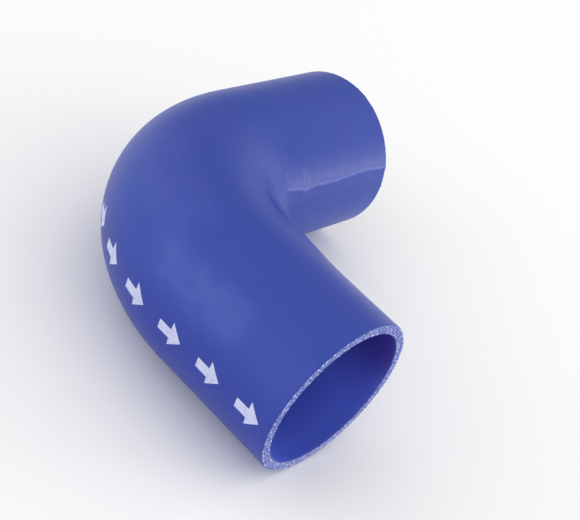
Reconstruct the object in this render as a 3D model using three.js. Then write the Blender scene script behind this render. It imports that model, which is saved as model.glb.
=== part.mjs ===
// Moulded silicone elbow hose, one piece: two straight legs joined by a right-angle bend.
// Millimetres, +Z up. The hose lies on its side, so the plane of its bend is level.
// The near leg opens towards -Y, the far leg towards +X, and the origin is under the middle of the box.
import * as THREE from "three";
import { mergeVertices } from "three/addons/utils/BufferGeometryUtils.js";

// Driving dimensions
const boreDiameter = 76; // the pipe that the hose slides over
const wallThickness = 5.2; // the silicone with its four cloth plies
const throatRadius = 30.8; // inside of the bend, on the outer surface
const nearStraight = 73; // from the near mouth to the start of the bend
const farStraight = 77; // from the end of the bend to the far mouth
const outerEdgeRadius = 1.2; // rounding of each mouth's outer edge
const boreEdgeRadius = 0.4; // rounding of each mouth's bore edge

// The last ply laps over itself: its edge is a low ridge along the whole hose
const lapHeight = 0.5;
const lapWidth = 7.6;
const lapAngle = THREE.MathUtils.degToRad(25); // round the hose, from the inside of the bend

// The plies bunch up above the throat, with a shallow crease along the foot of the bunch.
// Each is highest or deepest at a share of the bend, measured from its near end.
const bunchHeight = 3.4;
const bunchLength = 120;
const bunchWidth = 40;
const bunchAngle = THREE.MathUtils.degToRad(40);
const bunchPlace = 0.15;
const creaseDepth = 0.8;
const creaseLength = 70;
const creaseWidth = 9;
const creaseAngle = THREE.MathUtils.degToRad(56);
const creasePlace = 0.2;

// Facets of the round stretches
const sides = 72;
const bendSteps = 24;
const boreBendSteps = 14;
const legSteps = 4;
const edgeSteps = 3;

// Sizes that follow from the driving dimensions
const boreRadius = boreDiameter / 2;
const outerRadius = boreRadius + wallThickness;
const bendRadius = throatRadius + outerRadius; // to the hose's centreline
const bendAngle = Math.PI / 2;
const bendLength = bendRadius * bendAngle;
const bendEnd = nearStraight + bendLength;
const fullLength = bendEnd + farStraight;

// Places along one surface of the straightened hose, from one mouth's edge to the other's.
// The legs have a few rings each, and the bend has evenly turned ones.
function ringPlaces(edgeRadius, ringsInBend) {
  const places = [];
  for (let i = 0; i < legSteps; i += 1) {
    places.push(THREE.MathUtils.lerp(edgeRadius, nearStraight, i / legSteps));
  }
  for (let i = 0; i < ringsInBend; i += 1) {
    places.push(THREE.MathUtils.lerp(nearStraight, bendEnd, i / ringsInBend));
  }
  for (let i = 0; i <= legSteps; i += 1) {
    places.push(THREE.MathUtils.lerp(bendEnd, fullLength - edgeRadius, i / legSteps));
  }
  return places;
}

// Points of a rounded edge: a quarter circle about its centre, without its first and last points
function roundedEdge(radius, centreRadius, centreAlong, startAngle, turn) {
  const points = [];
  for (let i = 1; i < edgeSteps; i += 1) {
    const angle = startAngle + (turn * i) / edgeSteps;
    const across = centreRadius + radius * Math.cos(angle);
    points.push(new THREE.Vector2(across, centreAlong + radius * Math.sin(angle)));
  }
  return points;
}

// Closed outline of the straight wall, radius against place along the hose:
// up the bore, out across the far face, back down the outside, and in across the near face.
function wallOutline() {
  const quarter = Math.PI / 2;
  const boreCorner = boreRadius + boreEdgeRadius;
  const outerCorner = outerRadius - outerEdgeRadius;
  const bore = ringPlaces(boreEdgeRadius, boreBendSteps);
  const outside = ringPlaces(outerEdgeRadius, bendSteps).reverse();
  const outline = [
    ...bore.map((along) => new THREE.Vector2(boreRadius, along)),
    ...roundedEdge(boreEdgeRadius, boreCorner, fullLength - boreEdgeRadius, Math.PI, -quarter),
    new THREE.Vector2(boreCorner, fullLength),
    new THREE.Vector2(outerCorner, fullLength),
    ...roundedEdge(outerEdgeRadius, outerCorner, fullLength - outerEdgeRadius, quarter, -quarter),
    ...outside.map((along) => new THREE.Vector2(outerRadius, along)),
    ...roundedEdge(outerEdgeRadius, outerCorner, outerEdgeRadius, 0, -quarter),
    new THREE.Vector2(outerCorner, 0),
    new THREE.Vector2(boreCorner, 0),
    ...roundedEdge(boreEdgeRadius, boreCorner, boreEdgeRadius, -quarter, -quarter),
  ];
  outline.push(outline[0].clone());
  return outline;
}

// Smooth swell: 1 at the middle, 0 at the given reach to each side and beyond
function swell(distance, reach) {
  if (Math.abs(distance) >= reach) return 0;
  return 0.5 + 0.5 * Math.cos((Math.PI * distance) / reach);
}

// How far the outside stands proud of a plain tube, at an angle round it and a place along it
function standingProud(angle, along) {
  const around = (from) => (angle - from) * outerRadius;
  const past = (place) => along - nearStraight - place * bendLength;
  const lap = lapHeight * swell(around(lapAngle), lapWidth / 2);
  const bunch =
    bunchHeight *
    swell(around(bunchAngle), bunchWidth / 2) *
    swell(past(bunchPlace), bunchLength / 2);
  const crease =
    creaseDepth *
    swell(around(creaseAngle), creaseWidth / 2) *
    swell(past(creasePlace), creaseLength / 2);
  return lap + bunch - crease;
}

// Carries a point of the straight hose onto its bent line. The middle of the bend is at x 0, y 0.
// The angle runs round the hose from the inside of the bend, over the top.
function bentPoint(radius, angle, along) {
  const turned = THREE.MathUtils.clamp((along - nearStraight) / bendRadius, 0, bendAngle);
  const heading = new THREE.Vector3(Math.sin(turned), Math.cos(turned), 0);
  const inward = new THREE.Vector3(Math.cos(turned), -Math.sin(turned), 0);
  const straightOn = along - nearStraight - turned * bendRadius;
  return new THREE.Vector3(0, 0, outerRadius + radius * Math.sin(angle))
    .addScaledVector(inward, radius * Math.cos(angle) - bendRadius)
    .addScaledVector(heading, straightOn);
}

// The wall is turned straight and then laid along the bend.
// What stands proud outside fades through the wall, so the bore stays round and the mouths stay flat.
function hoseGeometry() {
  const straight = new THREE.LatheGeometry(wallOutline(), sides);
  const position = straight.getAttribute("position");
  const point = new THREE.Vector3();
  for (let i = 0; i < position.count; i += 1) {
    point.fromBufferAttribute(position, i);
    const radius = Math.hypot(point.x, point.z);
    const angle = Math.atan2(point.x, point.z);
    const depthShare = (radius - boreRadius) / wallThickness;
    const proud = depthShare * standingProud(angle, point.y);
    const bent = bentPoint(radius + proud, angle, point.y);
    position.setXYZ(i, bent.x, bent.y, bent.z);
  }
  straight.deleteAttribute("normal");
  straight.deleteAttribute("uv");
  const hose = mergeVertices(straight, 1e-3);
  hose.computeVertexNormals();
  return hose;
}

const silicone = new THREE.MeshStandardMaterial({
  name: "silicone",
  color: 0x454fa0,
  roughness: 0.5,
  metalness: 0,
});

const elbowHose = new THREE.Mesh(hoseGeometry(), silicone);
elbowHose.name = "elbow_hose";

// The middle of the hose's box comes over the origin, from the outside of each leg to the other's mouth
const outsideOfBend = bendRadius + outerRadius;
elbowHose.position.set((outsideOfBend - farStraight) / 2, (nearStraight - outsideOfBend) / 2, 0);

const part = new THREE.Group();
part.name = "silicone_elbow_hose";
part.add(elbowHose);

export default part;
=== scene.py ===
# Silicone elbow hose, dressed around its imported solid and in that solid's frame. Metres, +Z up.
import math
import random

import bmesh
import bpy
from mathutils import Matrix, Vector, noise


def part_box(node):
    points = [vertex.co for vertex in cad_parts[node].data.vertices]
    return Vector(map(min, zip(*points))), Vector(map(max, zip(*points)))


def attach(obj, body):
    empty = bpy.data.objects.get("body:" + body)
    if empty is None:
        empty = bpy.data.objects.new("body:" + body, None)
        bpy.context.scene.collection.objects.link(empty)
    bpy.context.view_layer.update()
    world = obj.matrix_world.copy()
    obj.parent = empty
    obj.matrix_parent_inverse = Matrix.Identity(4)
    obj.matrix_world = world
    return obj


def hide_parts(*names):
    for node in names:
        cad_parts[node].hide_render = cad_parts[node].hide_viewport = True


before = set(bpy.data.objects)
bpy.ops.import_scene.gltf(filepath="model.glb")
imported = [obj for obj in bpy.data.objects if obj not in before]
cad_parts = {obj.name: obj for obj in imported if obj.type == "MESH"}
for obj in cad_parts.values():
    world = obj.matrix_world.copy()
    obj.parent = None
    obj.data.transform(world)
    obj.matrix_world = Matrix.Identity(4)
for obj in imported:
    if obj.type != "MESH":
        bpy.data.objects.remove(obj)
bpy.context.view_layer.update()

# The wall of the hose
# Four plies of polyester cloth, soaked in silicone, are laid up on an elbow mandrel, wrapped and cured.
# The blank is pulled off the mandrel, and both ends are cut square with a knife.
wall_thickness = 0.0052
throat_radius = 0.0308  # inside of the bend, on the outer surface
outer_rounding = 0.0012  # of the cut ends' outer edge
bore_rounding = 0.0004  # of the cut ends' bore edge

hose_low, hose_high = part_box("elbow_hose")
outer_radius = (hose_high.z - hose_low.z) / 2
bore_radius = outer_radius - wall_thickness
bend_radius = throat_radius + outer_radius  # to the hose's centreline
centreline_height = hose_low.z + outer_radius
near_mouth = Vector((hose_low.x + outer_radius, hose_low.y, centreline_height))
far_mouth = Vector((hose_high.x, hose_high.y - outer_radius, centreline_height))
bend_centre = Vector((near_mouth.x + bend_radius, far_mouth.y - bend_radius, centreline_height))
near_straight = bend_centre.y - near_mouth.y
far_straight = far_mouth.x - bend_centre.x
quarter_turn = math.pi / 2
bend_length = bend_radius * quarter_turn
full_length = near_straight + bend_length + far_straight

hose_sides = 240
skin_step = 0.0015
bore_step = 0.008
rings_in_cut = 8
# Finer sides for the lap and for the fold: from and to how many degrees round, and the cuts in each side.
fine_bands = ((19.5, 31.5, 4), (48, 60, 2))
band_slack = 0.1  # degrees
close = 1e-6

hose = bmesh.new()


def parts_of(grown, kind):
    """What an operator's result holds of one kind."""
    return [part for part in grown if isinstance(part, kind)]


def place_on_hose(point):
    """Where a point is on the straightened hose, and the two directions that it could move in there.

    Gives how far along it is, the angle round (0 at the inside of the bend, a quarter turn at the top),
    the radius, the way straight out of the wall, and the way on along the hose.
    """
    from_centre = point - bend_centre
    turned = 0.0
    if from_centre.y > 0:
        turned = min(math.atan2(from_centre.y, -from_centre.x), quarter_turn)
    inward = Vector((math.cos(turned), -math.sin(turned), 0))
    heading = Vector((math.sin(turned), math.cos(turned), 0))
    across = point - (bend_centre - inward * bend_radius)
    straight_on = across.dot(heading)
    across -= heading * straight_on
    angle = math.atan2(across.z, across.dot(inward))
    along = near_straight + turned * bend_radius + straight_on
    return along, angle, across.length, across.normalized(), heading


def grown_ring(ring):
    """Extrudes a ring of edges in place, and returns the new ring's corners and edges."""
    grown = bmesh.ops.extrude_edge_only(hose, edges=ring)["geom"]
    corners = parts_of(grown, bmesh.types.BMVert)
    edges = parts_of(grown, bmesh.types.BMEdge)
    return corners, [edge for edge in edges if set(corners).issuperset(edge.verts)]


def drawn_straight(ring, travel, step):
    """Draws a ring straight on in even steps, and returns the last ring."""
    steps = round(travel.length / step)
    for _ in range(steps):
        corners, ring = grown_ring(ring)
        bmesh.ops.translate(hose, verts=corners, vec=travel / steps)
    return ring


def drawn_round_bend(ring, angle, step):
    """Turns a ring about the middle of the bend in even steps, and returns the last ring."""
    steps = round(bend_length / step)
    turned = bmesh.ops.spin(hose, geom=ring, cent=bend_centre, axis=(0, 0, 1), angle=angle, steps=steps)
    return parts_of(turned["geom_last"], bmesh.types.BMEdge)


def drawn_across_cut(ring, mouth, share):
    """Draws a ring across a cut end to a share of its radius, and returns the new ring."""
    corners, ring = grown_ring(ring)
    bmesh.ops.scale(hose, verts=corners, vec=(share, share, share), space=Matrix.Translation(-mouth))
    return ring


# The wall is drawn as one sheet: over the skin to the far mouth, across the cut, and back down the bore.
# The first circle's own X goes to the inside of the bend, and its Y goes up.
upright = Matrix.Translation(near_mouth) @ Matrix.Rotation(quarter_turn, 4, "X")
bmesh.ops.create_circle(hose, segments=hose_sides, radius=outer_radius, matrix=upright)
in_bands = [[] for _ in fine_bands]
for edge in hose.edges:
    angles = [math.degrees(place_on_hose(vertex.co)[1]) for vertex in edge.verts]
    for band, (low, high, cuts) in zip(in_bands, fine_bands):
        if min(angles) > low - band_slack and max(angles) < high + band_slack:
            band.append(edge)
for band, (low, high, cuts) in zip(in_bands, fine_bands):
    split = bmesh.ops.subdivide_edges(hose, edges=band, cuts=cuts)
    for vertex in parts_of(split["geom_inner"], bmesh.types.BMVert):
        along, angle, radius, outward, heading = place_on_hose(vertex.co)
        vertex.co += outward * (outer_radius - radius)

near_travel = Vector((0, near_straight, 0))
far_travel = Vector((far_straight, 0, 0))
ring = drawn_straight(list(hose.edges), near_travel, skin_step)
ring = drawn_round_bend(ring, -quarter_turn, skin_step)
ring = drawn_straight(ring, far_travel, skin_step)
ring = drawn_across_cut(ring, far_mouth, bore_radius / outer_radius)
ring = drawn_straight(ring, -far_travel, bore_step)
ring = drawn_round_bend(ring, quarter_turn, bore_step)
ring = drawn_straight(ring, -near_travel, bore_step)
drawn_across_cut(ring, near_mouth, outer_radius / bore_radius)
bmesh.ops.remove_doubles(hose, verts=hose.verts, dist=close)
bmesh.ops.recalc_face_normals(hose, faces=hose.faces)


def edges_on_cuts(low_radius, high_radius):
    """The edges on the two cut ends that run from one of these radii to the other."""
    found = []
    for edge in hose.edges:
        places = [place_on_hose(vertex.co) for vertex in edge.verts]
        radii = sorted(place[2] for place in places)
        off_near = max(place[0] for place in places)
        off_far = full_length - min(place[0] for place in places)
        off_radii = abs(radii[0] - low_radius) + abs(radii[1] - high_radius)
        if min(off_near, off_far) < close and off_radii < close:
            found.append(edge)
    return found


def rounded_on_cuts(radius, rounding, segments):
    """Rounds the edge that has this radius on both cut ends."""
    bmesh.ops.bevel(
        hose,
        geom=edges_on_cuts(radius, radius),
        offset=rounding,
        segments=segments,
        profile=0.5,
        affect="EDGES",
        material=-1,
    )


rounded_on_cuts(outer_radius, outer_rounding, segments=4)
rounded_on_cuts(bore_radius, bore_rounding, segments=2)
spokes = edges_on_cuts(bore_radius + bore_rounding, outer_radius - outer_rounding)
bmesh.ops.subdivide_edges(hose, edges=spokes, cuts=rings_in_cut - 1)

# Relief of the cured wall
# The last ply laps over itself along the hose, and its edge is a low ridge with a fine lip. The plies bunch
# up above the throat of the bend, with a crease and a finer fold, a groove beside a thin ridge, at the foot.
# The wrapping tape leaves faint ripples round the skin, and the knife leaves the cut ends a little uneven.
lap_height = 0.00032
lap_fade = 0.012  # above the edge
lap_drop = 0.0040  # below the edge
lip_height = 0.00012
lip_width = 0.0010
lap_wobble = 0.0003
lap_wobble_spacing = 0.004
lap_smoothed_at = 0.138  # along the hose, where the bend pulled the edge smooth
lap_smoothed_reach = 0.036
lap_line = (  # how far along, and how many degrees round
    (0.0, 25.0),
    (0.150, 29.5),
    (0.165, 29.0),
    (0.188, 25.2),
    (0.1975, 22.9),
    (0.206, 24.0),
    (0.220, 23.1),
    (0.247, 24.5),
    (0.270, 22.3),
)
bunch_height = 0.0034
bunch_length = 0.120
bunch_width = 0.040
bunch_angle = math.radians(40)
bunch_place = 0.15  # share of the bend from its near end, as for the crease
crease_depth = 0.0008
crease_length = 0.070
crease_width = 0.009
crease_angle = math.radians(56)
crease_place = 0.2
fold_height = 0.00030
groove_depth = 0.00022
fold_width = 0.0030  # of the ridge and of the groove
ridge_below = 0.0025  # from the groove
fold_middle = 0.096  # along the hose
fold_reach = 0.036
fold_angle = math.radians(55.5)
dent_depth = 0.00015
dent_spacing = 0.02
ripple_depth = 0.00005
ripple_spacing = Vector((0.03, 0.03, 0.0045))
cut_recess = 0.0002
cut_unevenness = 0.00015
cut_spacing = 0.003
edge_wear = 0.00012
edge_spacing = 0.0016
edge_reach = 0.0015  # from the mouth


def swell(distance, reach):
    """Smooth swell: 1 at the middle, and 0 at the given reach to each side and beyond."""
    if abs(distance) >= reach:
        return 0.0
    return 0.5 + 0.5 * math.cos(math.pi * distance / reach)


def from_lap(angle, along):
    """How far round the skin a place is from the lap's edge."""
    wobble = lap_wobble * noise.noise(Vector((along / lap_wobble_spacing, 0, 0)))
    line = lap_line[0][1]
    for (start, low), (end, high) in zip(lap_line, lap_line[1:]):
        if start <= along <= end:
            share = (along - start) / (end - start)
            line = low + (high - low) * share * share * (3 - 2 * share)
    return (angle - math.radians(line)) * outer_radius + wobble


def standing_proud(angle, along):
    """How far the skin stands proud of a plain tube."""

    def around(start):
        return (angle - start) * outer_radius

    def past(place):
        return along - near_straight - place * bend_length

    above_lap = from_lap(angle, along)
    lap = lap_height * swell(above_lap, lap_fade if above_lap > 0 else lap_drop)
    lap += lip_height * swell(above_lap, lip_width / 2)
    lap *= 1 - swell(along - lap_smoothed_at, lap_smoothed_reach)
    above_fold = around(fold_angle)
    ridge = fold_height * swell(above_fold + ridge_below, fold_width / 2)
    groove = groove_depth * swell(above_fold, fold_width / 2)
    fold = (ridge - groove) * swell(along - fold_middle, fold_reach)
    bunch = (
        bunch_height
        * swell(around(bunch_angle), bunch_width / 2)
        * swell(past(bunch_place), bunch_length / 2)
    )
    crease = (
        crease_depth
        * swell(around(crease_angle), crease_width / 2)
        * swell(past(crease_place), crease_length / 2)
    )
    return lap + fold + bunch - crease


def lows(place, depth):
    """A smooth unevenness: how far below the plain surface a place lies, down to the given depth."""
    return depth * (0.5 + 0.5 * noise.noise(place))


def cut_inset(straight):
    """How far a cut end lies behind the plane of the mouth."""
    return cut_recess + lows(straight / cut_spacing, cut_unevenness)


# The skin's materials read where each corner is on the straightened hose, and how far from the lap's edge.
straight_place = hose.verts.layers.float_vector.new("straight")
lap_distance = hose.verts.layers.float.new("lap_distance")
lap_reach = 0.015  # no distance from the lap is written down beyond this
for vertex in hose.verts:
    along, angle, radius, outward, heading = place_on_hose(vertex.co)
    straight = Vector((radius * math.cos(angle), radius * math.sin(angle), along))
    vertex[straight_place] = straight
    vertex[lap_distance] = min(abs(from_lap(angle, along)), lap_reach)
    depth_share = (radius - bore_radius) / wall_thickness
    ripple_place = Vector(
        (straight.x / ripple_spacing.x, straight.y / ripple_spacing.y, along / ripple_spacing.z)
    )
    dent = lows(straight / dent_spacing, dent_depth) + lows(ripple_place, ripple_depth)
    to_mouth = min(along, full_length - along)
    mouth_share = max(0, 1 - to_mouth / edge_reach)
    worn = mouth_share * lows(straight / edge_spacing, edge_wear)
    vertex.co += outward * depth_share * (standing_proud(angle, along) - dent - worn)
    inwards = heading if along < full_length / 2 else -heading
    vertex.co += inwards * mouth_share * cut_inset(straight)

SKIN, CUT, BORE = range(3)
cut_reach = outer_rounding / 3  # from the mouth
cut_starts = outer_rounding / 8  # below the skin
for face in hose.faces:
    face.smooth = True
    places = [vertex[straight_place] for vertex in face.verts]
    middle = sum(places, Vector()) / len(places)
    depth = outer_radius - middle.xy.length
    from_mouth = min(middle.z, full_length - middle.z)
    if from_mouth < cut_reach and depth > cut_starts:
        face.material_index = CUT
    elif depth < wall_thickness / 2:
        face.material_index = SKIN
    else:
        face.material_index = BORE

hose_mesh = bpy.data.meshes.new("silicone_elbow")
hose.to_mesh(hose_mesh)
hose.free()
silicone_elbow = bpy.data.objects.new("silicone_elbow", hose_mesh)
bpy.context.scene.collection.objects.link(silicone_elbow)


class Reading:
    """A value that changes over a surface. Sums with it add the Math nodes that work it out."""

    def __init__(self, socket):
        self.socket = socket

    def node(self, kind, settings, sockets, output=0):
        """Adds a node, makes its settings, and gives its sockets their values or links."""
        tree = self.socket.id_data
        added = tree.nodes.new(kind)
        for name, setting in settings.items():
            setattr(added, name, setting)
        for name, value in sockets.items():
            if isinstance(value, Reading):
                tree.links.new(value.socket, added.inputs[name])
            else:
                added.inputs[name].default_value = value
        return Reading(added.outputs[output])

    def maths(self, operation, *values):
        """One Math node on numbers and readings."""
        return self.node("ShaderNodeMath", {"operation": operation}, dict(enumerate(values)))

    def __add__(self, other):
        return self.maths("ADD", self, other)

    def __radd__(self, other):
        return self.maths("ADD", other, self)

    def __sub__(self, other):
        return self.maths("SUBTRACT", self, other)

    def __rsub__(self, other):
        return self.maths("SUBTRACT", other, self)

    def __mul__(self, other):
        return self.maths("MULTIPLY", self, other)

    def __rmul__(self, other):
        return self.maths("MULTIPLY", other, self)

    def __truediv__(self, other):
        return self.maths("DIVIDE", self, other)

    def __rtruediv__(self, other):
        return self.maths("DIVIDE", other, self)

    def __abs__(self):
        return self.maths("ABSOLUTE", self)

    def towards(self, direction):
        """How far this place lies in a direction."""
        return self.node(
            "ShaderNodeVectorMath", {"operation": "DOT_PRODUCT"}, {0: self, 1: tuple(direction)}, output=1
        )

    def rise(self, start, end):
        """Smooth rise from 0 at start to 1 at end, or a fall where end is the lower."""
        flip = end < start
        low, high = (end, start) if flip else (start, end)
        return self.node(
            "ShaderNodeMapRange",
            {"interpolation_type": "SMOOTHSTEP"},
            {"Value": self, "From Min": low, "From Max": high, "To Min": float(flip), "To Max": 1.0 - flip},
        )

    def blend(self, plain, other):
        """A colour between two others, by this value: plain at 0, the other at 1."""
        return self.node("ShaderNodeMix", {"data_type": "RGBA"}, {0: self, 6: plain, 7: other}, output=2)

    def stretched(self, sizes):
        """This place, counted in steps of the given size each way."""
        scale = tuple(1 / size for size in sizes)
        return self.node("ShaderNodeVectorMath", {"operation": "MULTIPLY"}, {0: self, 1: scale})

    def cloudy(self, across, along=None, detail=2.0):
        """Soft noise about 0.5 at this place, with features of one size across the hose and one along it."""
        sizes = (across, across, along or across)
        return self.node(
            "ShaderNodeTexNoise",
            {"noise_dimensions": "3D"},
            {"Vector": self.stretched(sizes), "Scale": 1.0, "Detail": detail, "Roughness": 0.5},
        )

    def bump(self, strength, distance):
        """The way a surface faces where this value stands out of it."""
        return self.node("ShaderNodeBump", {}, {"Height": self, "Strength": strength, "Distance": distance})


def kept_on_mesh(material, name, output):
    """What the mesh keeps under a name, for the material to read."""
    attribute = material.node_tree.nodes.new("ShaderNodeAttribute")
    attribute.attribute_name = name
    return Reading(attribute.outputs[output])


def new_material(name, ior, roughness):
    """A material with a Principled surface, and the place on the straightened hose for it to read."""
    material = bpy.data.materials.new(name)
    material.use_nodes = True
    surface = material.node_tree.nodes["Principled BSDF"]
    surface.inputs["IOR"].default_value = ior
    surface.inputs["Roughness"].default_value = roughness
    return material, surface, kept_on_mesh(material, "straight", "Vector")


def feed(surface, name, reading):
    """Links a value that changes over the surface to one of its sockets."""
    surface.id_data.links.new(reading.socket, surface.inputs[name])


def straight_out(angle):
    """The way straight out of the straightened hose, at an angle round it."""
    return (math.cos(angle), math.sin(angle), 0)


def straight_round(angle):
    """The way round the straightened hose, at an angle round it."""
    return (-math.sin(angle), math.cos(angle), 0)


# Skin of the hose
# Smooth satin silicone, cured against wrapping tape, with painted shade making it darker and more violet
# round the outside of the bend.
# The edge of the lap is paler, partly because the silicone is thin there and partly as a painted highlight,
# and a few marks of the tape are painted paler as glints.
# Pale arrows are printed in a row along the outside.
silicone_ior = 1.41
skin_roughness = 0.355
skin_gloss = 0.32  # below the even 0.5, because the tape's weave breaks up the sheen
skin_blue = (0.0285, 0.0630, 0.355, 1)
skin_violet = (0.0350, 0.0615, 0.353, 1)
skin_painted_shade = (0.026, 0.047, 0.318, 1)
thin_skin_and_glint = (0.140, 0.177, 0.560, 1)
painted_shade_angle = math.radians(200)  # from the inside of the bend, over the top
skin, skin_surface, skin_place = new_material("silicone_skin", silicone_ior, skin_roughness)
skin_surface.inputs["Specular IOR Level"].default_value = skin_gloss
skin_from_lap = kept_on_mesh(skin, "lap_distance", "Fac")
skin_along = skin_place.towards((0, 0, 1))


def patch(degrees, half_width, start, end, softness):
    """A soft-edged patch of the skin, at an angle round it, between two places along it: 1 inside."""
    angle = math.radians(degrees)
    across = skin_place.towards(straight_round(angle))
    outward = skin_place.towards(straight_out(angle))
    sides = abs(across).rise(half_width, half_width - softness) * outward.rise(0, softness)
    return sides * skin_along.rise(start, start + softness) * skin_along.rise(end, end - softness)


mottle_size = 0.03
mottle = skin_place.cloudy(mottle_size)
skin_colour = mottle.rise(0.35, 0.65).blend(skin_blue, skin_violet)
# Painted shade: the skin turns darker and more violet round the outside of the bend, towards its underside.
toward_painted_shade = skin_place.towards(straight_out(painted_shade_angle)) / outer_radius
skin_colour = toward_painted_shade.rise(0.75, 1.0).blend(skin_colour, skin_painted_shade)

# The lip's pale line starts near the far end of the bend, is patchy, and is strongest as far as the tape's
# marks.
# Its paleness is partly the thin silicone and partly a painted highlight along the lip.
lip_strength = 0.58
lip_strength_by_tape = 0.12
lip_half_width = 0.0012
lip_core = 0.0003  # to each side of the lap's edge, where the line is palest
lip_starts = 0.160
lip_full_from = 0.180
lip_strong_to = 0.205
lip_plain_from = 0.225
lip_line = skin_from_lap.rise(lip_half_width, lip_core) * skin_along.rise(lip_starts, lip_full_from)
lip_breaks = 0.35 + skin_place.cloudy(0.02, along=0.004).rise(0.35, 0.6) * 0.65
by_tape = skin_along.rise(lip_plain_from, lip_strong_to)
lip_tint = lip_line * lip_breaks * (lip_strength + by_tape * lip_strength_by_tape)

# The tape's weave left a few short rings beside the throat, and fainter ones from there to the far mouth.
# Their paleness is a painted highlight, the glint of the tape's ripples.
tape_pitch = 0.0019
tape_middle = 0.1978  # along the hose
faint_strength = 0.16
tape_wave = skin_along.maths("COSINE", (skin_along - tape_middle) * (2 * math.pi / tape_pitch))
tape_patch = patch(degrees=28, half_width=0.0085, start=0.1942, end=0.2018, softness=0.0022)
tape_breaks = 0.15 + skin_place.cloudy(0.004, along=0.0015).rise(0.3, 0.7) * 0.75
tape_ripple_glints = tape_wave.rise(0.1, 1.0) * tape_patch * tape_breaks
faint_wave = skin_place.cloudy(0.015, along=0.0011, detail=0.0).rise(0.5, 0.8)
faint_patch = patch(degrees=34, half_width=0.009, start=0.185, end=0.266, softness=0.008)
faint_ripple_glints = faint_wave * faint_patch * mottle.rise(0.3, 0.7) * faint_strength

# One short pale dash lies by the throat, and pale clouds lie on the near leg and on the bend.
dash_strength = 0.30
leg_pale_strength = 0.18
bend_pale_strength = 0.10
dash_patch = patch(degrees=36, half_width=0.0040, start=0.1740, end=0.1782, softness=0.0020)
leg_patch = patch(degrees=149, half_width=0.018, start=0.030, end=0.094, softness=0.015)
bend_patch = patch(degrees=125, half_width=0.022, start=0.076, end=0.150, softness=0.016)
clouds = 0.42 + mottle * 0.7 + skin_place.cloudy(0.007, along=0.010).rise(0.4, 0.65) * 0.35
pale_clouds = (leg_patch * leg_pale_strength + bend_patch * bend_pale_strength) * clouds
# Every pale mark takes one paler colour, for the thin silicone at the lip and for painted highlight on the
# lip and the tape's ripples.
paler = lip_tint.maths("MAXIMUM", lip_tint, tape_ripple_glints) + faint_ripple_glints + dash_patch * dash_strength + pale_clouds
skin_colour = paler.blend(skin_colour, thin_skin_and_glint)

# The arrows point to the near mouth. Their steps are counted on the outside of the bend.
ink = (0.58, 0.61, 0.83, 1)
ink_edge = 0.0003
ink_roughness = 0.1  # on top of the skin's
arrow_pitch = 0.0262
arrow_first = 0.014
arrow_count = 12
arrow_length = 0.0150
arrow_half_width = 0.0070
arrow_shaft_half_width = 0.0028
arrow_angle = math.radians(184.5)
outside_stretch = 0.5  # share by which the outside of the bend is counted longer
arrow_across = skin_place.towards(straight_round(arrow_angle))
on_arrow_side = skin_place.towards(straight_out(arrow_angle)).rise(0.0, 0.01)
into_bend = (skin_along - near_straight).maths("MAXIMUM", skin_along - near_straight, 0.0)
into_bend = into_bend.maths("MINIMUM", into_bend, bend_length)
on_outside = skin_along + into_bend * outside_stretch
step_place = on_outside - (arrow_first - arrow_pitch / 2)
in_row = step_place.maths("LESS_THAN", step_place, arrow_count * arrow_pitch)
from_middle = step_place.maths("FLOORED_MODULO", step_place, arrow_pitch) - arrow_pitch / 2
in_head = from_middle.maths("LESS_THAN", from_middle, 0.0)
in_shaft = (1 - in_head) * from_middle.maths("LESS_THAN", from_middle, arrow_length / 2)
head_slope = arrow_half_width / (arrow_length / 2)
head = in_head * (from_middle + arrow_length / 2) * head_slope
arrow_reach = head + in_shaft * arrow_shaft_half_width
printed = (arrow_reach - abs(arrow_across)).rise(0.0, ink_edge) * in_row * on_arrow_side
ink_cover = 0.80 + skin_place.cloudy(0.0015).rise(0.3, 0.6) * 0.18
printed = printed * ink_cover
feed(skin_surface, "Base Color", printed.blend(skin_colour, ink))

# The sheen is a little uneven, duller on the ink, and broken up by a fine grain.
sheen_change = 0.06
grain_size = 0.0012
dullness = skin_roughness + skin_place.cloudy(0.012, along=0.004) * sheen_change
feed(skin_surface, "Roughness", dullness + printed * ink_roughness)
skin_grain = skin_place.cloudy(grain_size, detail=1.0)
feed(skin_surface, "Normal", skin_grain.bump(strength=0.12, distance=0.0002))

# Cut ends
# The knife lays bare the four plies of cloth in the silicone, as rows of pale flecks with dark specks
# between them. Each end is paler towards its lowest part.
ply_count = 4
first_ply = 0.0009  # its depth below the skin
ply_pitch = (wall_thickness - 2 * first_ply) / (ply_count - 1)
ply_in_flecks = 0.03  # how far the plies sort the flecks into rows, and the specks between them
ply_in_specks = 0.04
fleck_size = 0.0011
speck_size = 0.0010
paler_starts = 0.018  # below the centreline
paler_full_from = 0.042
cut_roughness = 0.6
cut_blue = (0.080, 0.105, 0.390, 1)
cut_pale = (0.215, 0.245, 0.590, 1)
cut_dark = (0.035, 0.045, 0.220, 1)
cut_low_pale = (0.300, 0.310, 0.620, 1)
cut, cut_surface, cut_place = new_material("cut_plies", silicone_ior, cut_roughness)
across_cut = cut_place.stretched((1, 1, 1e9))
cut_radius = across_cut.node("ShaderNodeVectorMath", {"operation": "LENGTH"}, {0: across_cut}, output=1)
cut_depth = outer_radius - cut_radius
ply_wave = cut_depth.maths("COSINE", (cut_depth - first_ply) * (2 * math.pi / ply_pitch))
fleck = cut_place.cloudy(fleck_size, detail=1.0)
in_fleck = (fleck + ply_wave * ply_in_flecks).rise(0.42, 0.60)
paler_below = cut_place.towards((0, -1, 0)).rise(paler_starts, paler_full_from) * (0.4 + fleck * 0.6)
speck = cut_place.cloudy(speck_size, along=2 * speck_size, detail=0.0)
in_speck = (speck - ply_wave * ply_in_specks).rise(0.58, 0.66)
cut_colour = in_fleck.blend(cut_blue, cut_pale)
cut_colour = paler_below.blend(cut_colour, cut_low_pale)
feed(cut_surface, "Base Color", in_speck.blend(cut_colour, cut_dark))
feed(cut_surface, "Normal", fleck.bump(strength=0.5, distance=0.0003))
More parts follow.
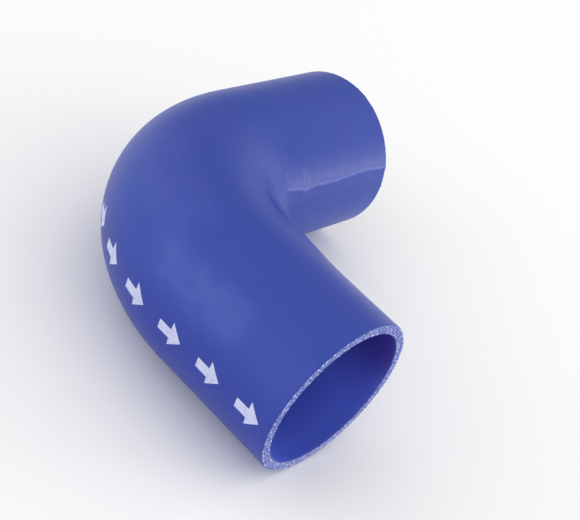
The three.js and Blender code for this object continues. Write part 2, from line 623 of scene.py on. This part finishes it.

# Bore
# Moulded smooth against the mandrel, in the deeper blue of the unwrapped silicone. Painted shade turns it
# darker and violet towards the top and the inside of the bend, and a shade deeper at the near mouth's lower
# edge.
bore_roughness = 0.35
bore_blue = (0.087, 0.135, 0.655, 1)
bore_painted_shade = (0.042, 0.029, 0.258, 1)
bore_mouth_shade = (0.036, 0.070, 0.470, 1)
mouth_shade_starts = 0.0095  # from the mouth
mouth_shade_full_from = 0.001
mouth_shade_strength = 0.9
to_bore_shaded_side = (0.5, 0.87, 0)
to_low_side = (0.5, -0.87, 0)
bore, bore_surface, bore_place = new_material("bore_lining", silicone_ior, bore_roughness)
# Painted shade: the bore darkens to violet towards its top and the inside of the bend, with a little noise.
bore_shaded_side = bore_place.towards(to_bore_shaded_side) / bore_radius + bore_place.cloudy(0.02) * 0.2
bore_colour = bore_shaded_side.rise(-0.1, 0.95).blend(bore_blue, bore_painted_shade)
low_side = bore_place.towards(to_low_side) / bore_radius
# Painted shade: the lower side just inside the near mouth is a shade deeper.
by_mouth = bore_place.towards((0, 0, 1)).rise(mouth_shade_starts, mouth_shade_full_from)
painted_mouth_shade = by_mouth * low_side.rise(0.40, 0.85) * mouth_shade_strength
feed(bore_surface, "Base Color", painted_mouth_shade.blend(bore_colour, bore_mouth_shade))

for material in (skin, cut, bore):
    hose_mesh.materials.append(material)
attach(silicone_elbow, "root")
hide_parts("elbow_hose")

# Yarn ends
# The cloth's polyester yarns end in the cut faces, where they stand out a little as pale dots, in a row
# for each ply. A few loose ends lie over the edges, where the knife dragged them.
yarn_spacing = 0.0022
yarn_length = 0.00150
yarn_width = 0.00090
yarn_standing = 0.00020
yarn_sides = 8
yarn_rings = 4
yarn_gap_share = 0.26
yarn_sway = 0.35  # along its row, as a share of the spacing
row_sway = 0.00015  # out of its row
least_yarn = 0.5  # sizes, as shares of the usual one
most_yarn = 1.35
ply_yarn_sizes = (1.0, 0.65, 0.75, 1.1)  # from the skin to the bore
thread_count = 70
thread_radius = 0.00008
thread_length = 0.0011
shortest_thread = 0.5  # as a share of the longest
thread_tip = 0.5  # its radius, as a share of the root's
thread_sides = 5
thread_lean = 1.2  # either way, in radians
yarn_ior = 1.5
yarn_roughness = 0.6
yarn_pale = (0.58, 0.68, 0.97, 1)
yarn_dim = (0.22, 0.27, 0.68, 1)
chance = random.Random(11)
yarn = bmesh.new()
dot = bmesh.new()
bmesh.ops.create_uvsphere(dot, u_segments=yarn_sides, v_segments=yarn_rings, radius=0.5)
thread = bmesh.new()
bmesh.ops.create_cone(
    thread, cap_ends=True, segments=thread_sides, radius1=1, radius2=thread_tip, depth=1
)


def whole_mesh(name, built):
    """The mesh of a finished bmesh, which is then let go."""
    mesh = bpy.data.meshes.new(name)
    built.to_mesh(mesh)
    built.free()
    return mesh


def add_copy(mesh, matrix):
    """Adds a copy of a small mesh to the yarns, carried to its place by the matrix."""
    placed = mesh.copy()
    placed.transform(matrix)
    yarn.from_mesh(placed)
    bpy.data.meshes.remove(placed)


dot_mesh = whole_mesh("yarn_dot", dot)
thread_mesh = whole_mesh("loose_thread", thread)


def on_cut(near, angle, radius):
    """A place on the near or the far cut end, with the turn that sets X outward and Z out of the mouth."""
    mouth = near_mouth if near else far_mouth
    out_of_mouth = Vector((0, -1, 0)) if near else Vector((1, 0, 0))
    to_inside = Vector((1, 0, 0)) if near else Vector((0, -1, 0))
    outward = to_inside * math.cos(angle) + Vector((0, 0, 1)) * math.sin(angle)
    along = 0 if near else full_length
    inset = cut_inset(Vector((radius * math.cos(angle), radius * math.sin(angle), along)))
    turn = Matrix((outward, out_of_mouth.cross(outward), out_of_mouth)).transposed().to_4x4()
    return Matrix.Translation(mouth + outward * radius - out_of_mouth * inset) @ turn


for near in (True, False):
    for ply in range(ply_count):
        ply_radius = outer_radius - first_ply - ply * ply_pitch
        yarns = round(2 * math.pi * ply_radius / yarn_spacing)
        for i in range(yarns):
            turned = (i + chance.uniform(-yarn_sway, yarn_sway)) * 2 * math.pi / yarns
            off_row = chance.uniform(-row_sway, row_sway)
            size = chance.uniform(least_yarn, most_yarn) * ply_yarn_sizes[ply]
            missing = chance.random() < yarn_gap_share
            if missing:
                continue
            shape = Matrix.Diagonal((yarn_width * size, yarn_length * size, 2 * yarn_standing, 1))
            add_copy(dot_mesh, on_cut(near, turned, ply_radius + off_row) @ shape)
    for _ in range(thread_count):
        turned = chance.uniform(-math.pi, math.pi)
        edge_radius = chance.choice((bore_radius + bore_rounding, outer_radius - outer_rounding / 2))
        lean = chance.uniform(-thread_lean, thread_lean)
        length = thread_length * chance.uniform(shortest_thread, 1)
        sunk = Matrix.Translation((0, 0, -thread_radius))
        lying = Matrix.Rotation(lean, 4, "Z") @ Matrix.Rotation(quarter_turn, 4, "Y")
        reach = (edge_radius + length / 2) * max(abs(math.sin(turned)), -math.cos(turned))
        past_box = reach > outer_radius
        if past_box:
            continue
        shape = Matrix.Diagonal((thread_radius, thread_radius, length, 1))
        add_copy(thread_mesh, on_cut(near, turned, edge_radius) @ sunk @ lying @ shape)

yarn_place = yarn.verts.layers.float_vector.new("straight")
for vertex in yarn.verts:
    along, angle, radius, outward, heading = place_on_hose(vertex.co)
    vertex[yarn_place] = Vector((radius * math.cos(angle), radius * math.sin(angle), along))
for face in yarn.faces:
    face.smooth = True
yarn_mesh = whole_mesh("yarn_ends", yarn)
bpy.data.meshes.remove(dot_mesh)
bpy.data.meshes.remove(thread_mesh)
yarn_ends = bpy.data.objects.new("yarn_ends", yarn_mesh)
bpy.context.scene.collection.objects.link(yarn_ends)
yarn_material, yarn_surface, yarn_at = new_material("polyester_yarn", yarn_ior, yarn_roughness)
in_pale = yarn_at.cloudy(0.002).rise(0.4, 0.6)
feed(yarn_surface, "Base Color", in_pale.blend(yarn_dim, yarn_pale))
yarn_mesh.materials.append(yarn_material)
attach(yarn_ends, "root")

# Floor
# One wide sheet of matt white paper, on which the hose lies on its side.
# It holds the hose's soft shadow and mirrors nothing.
floor_size = 12
floor_white = (0.97, 0.97, 0.97, 1)
floor_mesh = bpy.data.meshes.new("floor")
sheet = bmesh.new()
bmesh.ops.create_grid(sheet, x_segments=1, y_segments=1, size=floor_size / 2)
sheet.to_mesh(floor_mesh)
sheet.free()
floor = bpy.data.objects.new("floor", floor_mesh)
bpy.context.scene.collection.objects.link(floor)
floor_material = bpy.data.materials.new("white_floor")
floor_material.use_nodes = True
floor_tree = floor_material.node_tree
floor_tree.nodes.clear()
matt = floor_tree.nodes.new("ShaderNodeBsdfDiffuse")
matt.inputs["Color"].default_value = floor_white
floor_output = floor_tree.nodes.new("ShaderNodeOutputMaterial")
floor_tree.links.new(matt.outputs["BSDF"], floor_output.inputs["Surface"])
floor_mesh.materials.append(floor_material)

# Studio light
# A white room lights the hose from all sides. It is dimmer towards the far corner and overhead.
# One softbox stands low on the right, with a broad and weaker one beside it, and one stands on the left.
ambient = 1.12
far_corner = Vector((0.60, 0.69, 0.40))
far_corner_dimming = 0.62
overhead = Vector((-0.25, -0.30, 0.92))
overhead_dimming = 0.34
world = bpy.data.worlds.new("studio")
world.use_nodes = True
world_tree = world.node_tree
background = world_tree.nodes["Background"]
background.inputs["Color"].default_value = (1, 1, 1, 1)
sky = world_tree.nodes.new("ShaderNodeTexCoord")
sight = Reading(sky.outputs["Generated"])
# Each dim patch fades in as a direction turns towards its middle.
in_far_corner = sight.towards(far_corner).rise(0.72, 0.99)
in_overhead = sight.towards(overhead).rise(0.75, 0.95)
dimmed = in_far_corner * far_corner_dimming + in_overhead * overhead_dimming
feed(background, "Strength", (1 - dimmed) * ambient)
bpy.context.scene.world = world

lamp_distance = 1.5
lamp_aim = Vector((0, 0, centreline_height))


def softbox(name, azimuth, elevation, width, height, power):
    """A rectangular lamp that faces the hose from a bearing and a height, both in degrees."""
    lamp = bpy.data.lights.new(name, "AREA")
    lamp.shape = "RECTANGLE"
    lamp.size = width
    lamp.size_y = height
    lamp.energy = power
    stand = bpy.data.objects.new(name, lamp)
    bpy.context.scene.collection.objects.link(stand)
    turn = Matrix.Rotation(math.radians(azimuth), 4, "Z") @ Matrix.Rotation(math.radians(-elevation), 4, "Y")
    away = turn @ Vector((1, 0, 0))
    facing = away.to_track_quat("Z", "Y").to_matrix().to_4x4()
    stand.matrix_world = Matrix.Translation(lamp_aim + away * lamp_distance) @ facing
    stand.visible_camera = False


softbox("right_softbox", azimuth=-41, elevation=6.5, width=0.50, height=0.40, power=4.3)
softbox("right_spread", azimuth=-18, elevation=14, width=1.2, height=0.65, power=0.8)
softbox("left_softbox", azimuth=153, elevation=22, width=1.0, height=0.85, power=1.9)

# Camera
# It looks down on the hose from the left of the near mouth, rolled to one side, through a long lens.
# Its place and its turns are fitted to the hose's outline in the photo.
camera_place = Vector((-0.49912, -0.28993, 0.42464))
camera_turn = math.radians(-61.0055)
camera_tilt = math.radians(90 - 33.879)
camera_roll = math.radians(26.147)
film_width = 36  # millimetres
lens_length = 85.76
camera_data = bpy.data.cameras.new("camera")
camera_data.sensor_fit = "HORIZONTAL"
camera_data.sensor_width = film_width
camera_data.lens = lens_length
camera = bpy.data.objects.new("camera", camera_data)
bpy.context.scene.collection.objects.link(camera)
camera.matrix_world = (
    Matrix.Translation(camera_place)
    @ Matrix.Rotation(camera_turn, 4, "Z")
    @ Matrix.Rotation(camera_tilt, 4, "X")
    @ Matrix.Rotation(camera_roll, 4, "Z")
)
bpy.context.scene.camera = camera
bpy.context.scene.view_settings.view_transform = "Standard"
